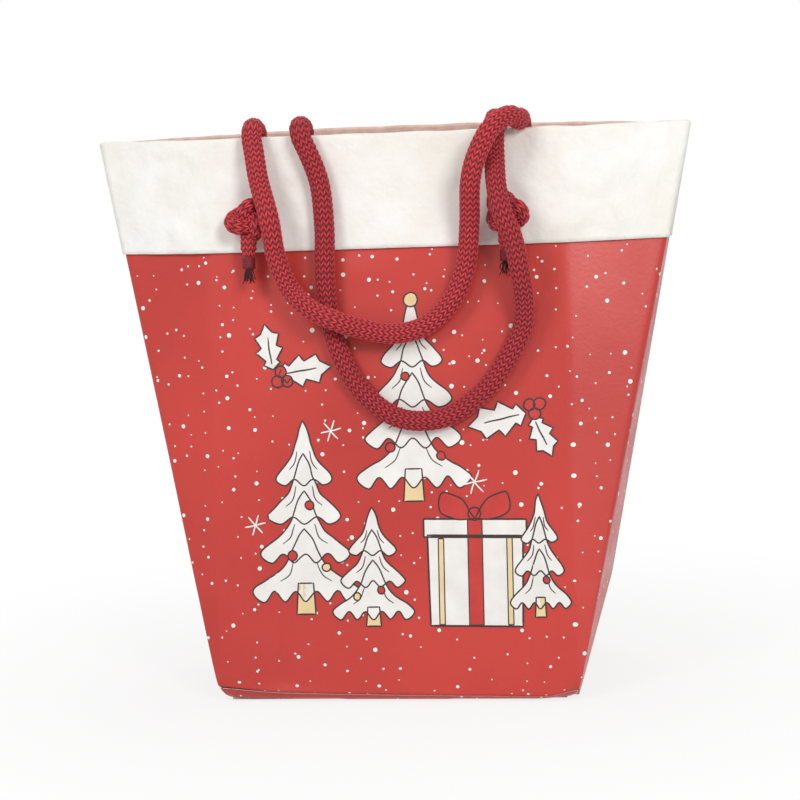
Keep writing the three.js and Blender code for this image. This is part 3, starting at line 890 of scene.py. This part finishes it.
def leaf(x, y, length, turn):
    """A holly leaf: hollow curves between five pairs of spines, and a midrib."""
    half = [
        (0.0, 0.0), (0.13, 0.19), (0.2, 0.12), (0.42, 0.3), (0.5, 0.17), (0.74, 0.27), (0.8, 0.13),
        (1.0, 0.0),
    ]
    ring = half + [(a, -b) for a, b in reversed(half[1:-1])]
    c, s = math.cos(turn), math.sin(turn)
    place = [(x + length * (a * c - b * s), y + length * (a * s + b * c)) for a, b in ring]
    edge = split_sides(place, 4)
    fill(edge, "snow")
    stroke(edge)
    rib = [(x + length * a * c, y + length * a * s) for a in (0.12, 0.4, 0.72)]
    stroke(rounded(rib, closed=False), INK_WIDTH * 1.1, closed=False)


def bowl_of(points, paint, width=INK_WIDTH):
    """A rounded patch with an inked edge."""
    outline = rounded(points)
    fill(outline, paint)
    stroke(outline, width)


fir(0.012, 0.112, 0.064, 0.112, 4, [
    (-0.2, 0.27, 0.0026, "red"), (0.12, 0.42, 0.0024, "cream"), (0.24, 0.22, 0.0024, "red"),
    (-0.06, 0.62, 0.0022, "red"), (0.0, 1.0, 0.004, "cream"),
])
fir(-0.05, 0.05, 0.06, 0.108, 4, [
    (-0.12, 0.3, 0.0028, "red"), (0.2, 0.24, 0.0024, "cream"), (0.05, 0.56, 0.0024, "red"),
])
fir(-0.012, 0.043, 0.046, 0.066, 3, [(0.1, 0.3, 0.002, "red"), (-0.2, 0.25, 0.002, "cream")])

# The present: a box, two ribbons, stripes and a bow
BOX_LEFT, BOX_RIGHT, BOX_LOW, BOX_TOP = 0.02, 0.071, 0.043, 0.092
LID_OVERHANG = 0.003
box_front = [
    (BOX_LEFT, BOX_LOW), (BOX_RIGHT, BOX_LOW - 0.001), (BOX_RIGHT + 0.001, BOX_TOP),
    (BOX_LEFT - 0.001, BOX_TOP + 0.001),
]
lid = [
    (BOX_LEFT - LID_OVERHANG, BOX_TOP), (BOX_RIGHT + LID_OVERHANG, BOX_TOP - 0.001),
    (BOX_RIGHT + LID_OVERHANG, BOX_TOP + 0.009), (BOX_LEFT - LID_OVERHANG, BOX_TOP + 0.01),
]
for corners in (box_front, lid):
    edge = split_sides(corners, 20)
    fill(edge, "snow")
    stroke(edge, INK_WIDTH * 1.2)
middle_x = (BOX_LEFT + BOX_RIGHT) / 2
for x0, x1, y0, y1, paint in (
    (middle_x - 0.004, middle_x + 0.004, BOX_LOW, BOX_TOP + 0.0092, "red"),
    (BOX_LEFT + 0.005, BOX_LEFT + 0.008, BOX_LOW + 0.0005, BOX_TOP - 0.001, "cream"),
    (BOX_RIGHT - 0.008, BOX_RIGHT - 0.005, BOX_LOW, BOX_TOP - 0.001, "cream"),
):
    edge = split_sides([(x0, y0), (x1, y0), (x1, y1), (x0, y1)], 12)
    fill(edge, paint)
    stroke(edge, INK_WIDTH * 0.8)
for sign in (-1, 1):
    bowl_of([
        (middle_x, BOX_TOP + 0.01), (middle_x + sign * 0.008, BOX_TOP + 0.021),
        (middle_x + sign * 0.018, BOX_TOP + 0.024), (middle_x + sign * 0.019, BOX_TOP + 0.014),
        (middle_x + sign * 0.009, BOX_TOP + 0.0095),
    ], "red")
disc(middle_x, BOX_TOP + 0.0125, 0.0035, "red")
fir(0.081, 0.047, 0.034, 0.068, 3, [(0.1, 0.3, 0.002, "red")])

for x, y, leaves, berries in (
    (-0.066, 0.184, ((0.026, 1.75), (0.03, 0.12)), ((0.002, -0.004), (0.0075, -0.0035), (0.004, 0.0015))),
    (0.078, 0.16, ((0.033, 3.35), (0.024, -1.15)), ((-0.001, 0.004), (0.0045, 0.0045), (0.002, -0.001))),
):
    for length, turn in leaves:
        leaf(x + 0.003 * math.cos(turn), y + 0.003 * math.sin(turn), length, turn)
    for dx, dy in berries:
        disc(x + dx, y + dy, 0.0033, "red")

for x, up, radius in ((-0.078, 0.1, 0.006), (0.046, 0.122, 0.007), (-0.034, 0.152, 0.006)):
    for k in range(6):
        angle = math.pi * k / 3 + 0.2
        tip = (x + radius * math.cos(angle), up + radius * math.sin(angle))
        halfway = ((x + tip[0]) / 2, (up + tip[1]) / 2)
        stroke(rounded([(x, up), halfway, tip], closed=False), INK_WIDTH, False, "snow")

motifs = new_object("printed_motifs", motif_points, motif_faces, PAINTS["snow"])
for name in paint_order[1:]:
    motifs.data.materials.append(PAINTS[name])
motifs.data.polygons.foreach_set("material_index", motif_paints)
outward = on_front(0, -1, 0) - on_front(0, 0, 0)
turned_in = [face.index for face in motifs.data.polygons if face.normal.dot(outward) < 0]
upright = bmesh.new()
upright.from_mesh(motifs.data)
upright.faces.ensure_lookup_table()
bmesh.ops.reverse_faces(upright, faces=[upright.faces[i] for i in turned_in])
upright.to_mesh(motifs.data)
upright.free()
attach(motifs, "front_wall")

# Base
# The bottom flaps of the sheet, folded over and glued flat. The bag stands on them.
BASE_INSETS = [0.0003, 0.001, 0.002, 0.0035, 0.006, 0.01, 0.016, 0.024, 0.034, 0.045, 0.057, 0.0695]
foot_line = np.array(foot_line)
base_verts, base_faces = [], []
for inset in BASE_INSETS:
    for x, y, z in foot_line:
        ease = 1 - inset / BASE_HALF_DEPTH
        flap_edge = 0.0003 if abs(x * ease) + abs(y * ease) * 0.4 > 0.06 else 0.0
        low = FLOOR_LIFT + flap_edge * min(1.0, inset / 0.006)
        base_verts.append((
            math.copysign(max(0.0, abs(x) - inset * 1.38), x),
            math.copysign(max(0.0, abs(y) - inset), y),
            low + max(0.0, z - FLOOR_LIFT) * math.exp(-inset / 0.0025),
        ))
around = len(foot_line)
for i in range(len(BASE_INSETS) - 1):
    for j in range(around):
        a, b = i * around, (i + 1) * around
        k = (j + 1) % around
        base_faces.append((a + j, b + j, b + k, a + k))
base = new_object("base_flaps", base_verts, base_faces, printed_card, smooth=False)
closing = bmesh.new()
closing.from_mesh(base.data)
bmesh.ops.remove_doubles(closing, verts=closing.verts, dist=2e-5)
closing.to_mesh(base.data)
closing.free()
base_uv = base.data.uv_layers.new(name="sheet")
for corner in base.data.loops:
    place = base.data.vertices[corner.vertex_index].co
    base_uv.data[corner.index].uv = (place.x, -place.y)
if sum(face.normal.z * face.area for face in base.data.polygons) > 0:
    base.data.flip_normals()
base.data.materials.append(card_inside)
thicken(base, 0.0004, 1)
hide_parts("base_panel")
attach(base, "root")

# Cuff
# A white band of soft coated card, turned down over the rim outside and in and glued. It puckers at
# the creases, and its cut edge stands a hair off the red sheet.
CUFF_HEIGHT = 0.063
CUFF_OUT = 0.0011
CUFF_IN = 0.0039
CUFF_INNER_HEIGHT = 0.058
CUFF_THICKNESS = 0.0004
BACK_RIM_RISE = 0.0025
CRUMPLE_PLACE = 0.012
CRUMPLE_REACH = 0.036
CRUMPLE_DEPTH = 0.0034
PUCKER_DEPTH = 0.0009


def shifted_ring(corners, off):
    """The ring of corners moved out from the sheet by off, or in where it is less than 0."""
    points = [np.array(c) for c in corners]
    moved = []
    count = len(points)
    for i, point in enumerate(points):
        normals = []
        for a, b in ((points[i - 1], point), (point, points[(i + 1) % count])):
            d = b - a
            if np.linalg.norm(d) > 2e-4:
                normals.append(np.array((d[1], -d[0])) / np.linalg.norm(d))
        while len(normals) < 2:
            sign = 1 if point[0] > 0 else -1
            normals.append(np.array((float(sign), 0.0)))
        middle = normals[0] + normals[1]
        middle /= max(0.3, np.linalg.norm(middle))
        stretch = 1 / max(0.45, middle.dot(normals[0]))
        new = point + middle * off * stretch * outward_hand
        if off < 0 and abs(new[0]) > BASE_HALF_WIDTH:
            limit = 0.0003 if point[1] > 0 else -0.0003
            if point[1] == 0 or new[1] * limit < 0:
                new[1] = limit
        moved.append(new)
    return moved


near_rim_ring = [np.array(c) for c in corner_ring(0.3)]
back_span = near_rim_ring[6] - near_rim_ring[5]
outward_hand = 1 if back_span[0] > 0 else -1

profile = []
for k in range(25):
    profile.append((CUFF_OUT, -CUFF_HEIGHT * (1 - k / 24)))
centre, reach = (CUFF_OUT - CUFF_IN) / 2, (CUFF_OUT + CUFF_IN) / 2
for k in range(1, 8):
    angle = math.pi * k / 8
    profile.append((centre + reach * math.cos(angle), 0.0014 * math.sin(angle)))
for k in range(19):
    profile.append((-CUFF_IN, -CUFF_INNER_HEIGHT * k / 18))
cuff_verts, cuff_faces, cuff_uv, cuff_rows = [], [], [], []
for off, up in profile:
    z = min(RIM_HEIGHT, RIM_HEIGHT + up * math.cos(LEAN))
    top = max(0.0, up)
    ring = corner_ring(z)
    places, rounds = ring_places(shifted_ring(ring, off))
    row = []
    for (x, y), r in zip(places, rounds):
        near_crease = math.exp(-((abs(x) - BASE_HALF_WIDTH - CRUMPLE_PLACE) / CRUMPLE_REACH) ** 2)
        crumple = noise.noise(Vector((x * 55, z * 62, 0.5))) * CRUMPLE_DEPTH * near_crease
        crumple += abs(noise.noise(Vector((x * 120, z * 60, 3.5)))) * PUCKER_DEPTH * near_crease
        crumple += noise.noise(Vector((x * 18, z * 30, 2.0))) * 0.0006
        if off > 0 and abs(y) > 0.002:
            pull = max(0.0, crumple + 0.0002)
            hem = 0.0003 * math.exp(-((up + CUFF_HEIGHT) / 0.003) ** 2)
            y += (pull + hem) * (-1 if y < 0 else 1)
        near_rim = min(1.0, max(0.0, 1 + up / 0.02))
        rim_wave = noise.noise(Vector((x * 60, 7.7, 1.5 if y < 0 else 5.0))) * 0.0006 * near_rim
        if y > 0:
            back_rise = BACK_RIM_RISE * min(1.0, max(0.0, 1.45 - abs(x) / BASE_HALF_WIDTH))
            rim_wave += back_rise * near_rim
        row.append(len(cuff_verts))
        cuff_verts.append((x, y, z + top + rim_wave))
        cuff_uv.append((r, up))
    cuff_rows.append(row)
LINING_ROW = 28
cuff_paper = []
for i, (low, high) in enumerate(zip(cuff_rows, cuff_rows[1:])):
    for j in range(len(low) - 1):
        cuff_faces.append((low[j], low[j + 1], high[j + 1], high[j]))
        cuff_paper.append(1 if i >= LINING_ROW else 0)

cuff_white, nodes, links, shader = new_finish("cuff_white")
tone = mixed(nodes, links, noise_value(nodes, 24, 5, 0.35, 0.7), (0.86, 0.83, 0.76), (0.93, 0.92, 0.9))
links.new(tone.outputs["Result"], shader.inputs["Base Color"])
crinkle = bumped(nodes, links, noise_value(nodes, 85, 6), 0.0011, 0.7)
links.new(crinkle.outputs["Normal"], shader.inputs["Normal"])
shader.inputs["Roughness"].default_value = 0.55
cuff_inside = plain_card("cuff_inside", (0.66, 0.43, 0.35), (0.8, 0.58, 0.5), 0.8, 0.0002)

cuff = new_object("cuff_band", cuff_verts, cuff_faces, cuff_white)
cuff.data.materials.append(cuff_inside)
cuff.data.polygons.foreach_set("material_index", cuff_paper)
sheet_uv = cuff.data.uv_layers.new(name="sheet")
corner_vertex = np.zeros(len(cuff.data.loops), int)
cuff.data.loops.foreach_get("vertex_index", corner_vertex)
sheet_uv.data.foreach_set("uv", np.array(cuff_uv, np.float32)[corner_vertex].ravel())
band = bmesh.new()
band.from_mesh(cuff.data)
bmesh.ops.remove_doubles(band, verts=band.verts, dist=1e-5)
bmesh.ops.recalc_face_normals(band, faces=band.faces)
band.to_mesh(cuff.data)
band.free()
probe = min(cuff.data.polygons, key=lambda f: (f.center - on_front(0, -CUFF_OUT, -0.03)).length)
if probe.normal.y > 0:
    cuff.data.flip_normals()
thicken(cuff, CUFF_THICKNESS, 0)
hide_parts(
    "front_cuff", "back_cuff", "gusset_cuff_front_left", "gusset_cuff_front_right",
    "gusset_cuff_back_left", "gusset_cuff_back_right",
)
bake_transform(cuff)

# Base board and stiffener cards
# Plain grey boards. One lies loose in the bottom, and one is glued inside the cuff of each wall,
# where the rope holes are punched through it.
grey_board = plain_card("grey_board", (0.36, 0.33, 0.28), (0.47, 0.44, 0.38), 0.85, 0.00015)
for name in ("base_board", "front_stiffener_card", "back_stiffener_card"):
    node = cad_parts[name]
    node.data.materials.clear()
    node.data.materials.append(grey_board)

# Floor, backdrop and light
# A pale floor that carries on into a white background, a soft lamp on each side of the camera, and
# a large weak one above and behind the bag.
floor_mesh = bpy.data.meshes.new("floor")
floor_mesh.from_pydata([(-4, -4, 0), (4, -4, 0), (4, 4, 0), (-4, 4, 0)], [], [(0, 1, 2, 3)])
floor = bpy.data.objects.new("floor", floor_mesh)
scene.collection.objects.link(floor)
floor_white = bpy.data.materials.new("floor_white")
floor_white.use_nodes = True
nodes, links = floor_white.node_tree.nodes, floor_white.node_tree.links
nodes["Principled BSDF"].inputs["Base Color"].default_value = (0.86, 0.85, 0.84, 1)
nodes["Principled BSDF"].inputs["Roughness"].default_value = 0.9
glow = nodes.new("ShaderNodeEmission")
glow.inputs["Color"].default_value = (1, 1, 1, 1)
seen = nodes.new("ShaderNodeLightPath")
place = nodes.new("ShaderNodeTexCoord")
range_out = nodes.new("ShaderNodeVectorMath")
range_out.operation = "LENGTH"
links.new(place.outputs["Object"], range_out.inputs[0])
clean = nodes.new("ShaderNodeMapRange")
clean.interpolation_type = "SMOOTHSTEP"
clean.inputs["From Min"].default_value = 0.1
clean.inputs["From Max"].default_value = 0.42
clean.inputs["To Min"].default_value = 0.82
clean.inputs["To Max"].default_value = 1.0
links.new(range_out.outputs["Value"], clean.inputs["Value"])
share = nodes.new("ShaderNodeMath")
share.operation = "MULTIPLY"
links.new(clean.outputs["Result"], share.inputs[0])
direct = nodes.new("ShaderNodeMath")
direct.operation = "MAXIMUM"
links.new(seen.outputs["Is Camera Ray"], direct.inputs[0])
links.new(seen.outputs["Is Transmission Ray"], direct.inputs[1])
viewed = nodes.new("ShaderNodeMath")
viewed.operation = "MAXIMUM"
links.new(direct.outputs["Value"], viewed.inputs[0])
links.new(seen.outputs["Is Glossy Ray"], viewed.inputs[1])
links.new(viewed.outputs["Value"], share.inputs[1])
blend_in = nodes.new("ShaderNodeMixShader")
links.new(share.outputs["Value"], blend_in.inputs["Fac"])
links.new(nodes["Principled BSDF"].outputs["BSDF"], blend_in.inputs[1])
links.new(glow.outputs["Emission"], blend_in.inputs[2])
links.new(blend_in.outputs["Shader"], nodes["Material Output"].inputs["Surface"])
floor_mesh.materials.append(floor_white)

world = bpy.data.worlds.new("studio")
scene.world = world
world.use_nodes = True
nodes, links = world.node_tree.nodes, world.node_tree.links
nodes["Background"].inputs["Color"].default_value = (1, 1, 1, 1)
nodes["Background"].inputs["Strength"].default_value = 0.36
white = nodes.new("ShaderNodeBackground")
white.inputs["Color"].default_value = (1, 1, 1, 1)
white.inputs["Strength"].default_value = 1.0
ray = nodes.new("ShaderNodeLightPath")
either = nodes.new("ShaderNodeMath")
either.operation = "MAXIMUM"
links.new(ray.outputs["Is Camera Ray"], either.inputs[0])
links.new(ray.outputs["Is Transmission Ray"], either.inputs[1])
any_view = nodes.new("ShaderNodeMath")
any_view.operation = "MAXIMUM"
links.new(either.outputs["Value"], any_view.inputs[0])
links.new(ray.outputs["Is Glossy Ray"], any_view.inputs[1])
choose = nodes.new("ShaderNodeMixShader")
links.new(any_view.outputs["Value"], choose.inputs["Fac"])
links.new(nodes["Background"].outputs["Background"], choose.inputs[1])
links.new(white.outputs["Background"], choose.inputs[2])
links.new(choose.outputs["Shader"], nodes["World Output"].inputs["Surface"])

LAMPS = [
    ("key", (-0.75, -1.2, 1.25), 0.55, 9),
    ("fill", (0.75, -1.3, 0.95), 0.5, 10),
    ("top", (0.0, 0.6, 1.8), 1.0, 6),
]
for name, place, size, power in LAMPS:
    lamp = bpy.data.lights.new(name, "AREA")
    lamp.shape = "DISK"
    lamp.size = size
    lamp.energy = power
    light = bpy.data.objects.new(name, lamp)
    scene.collection.objects.link(light)
    light.location = place
    light.rotation_euler = (Vector(place) - Vector((0, 0, 0.16))).to_track_quat("Z", "Y").to_euler()
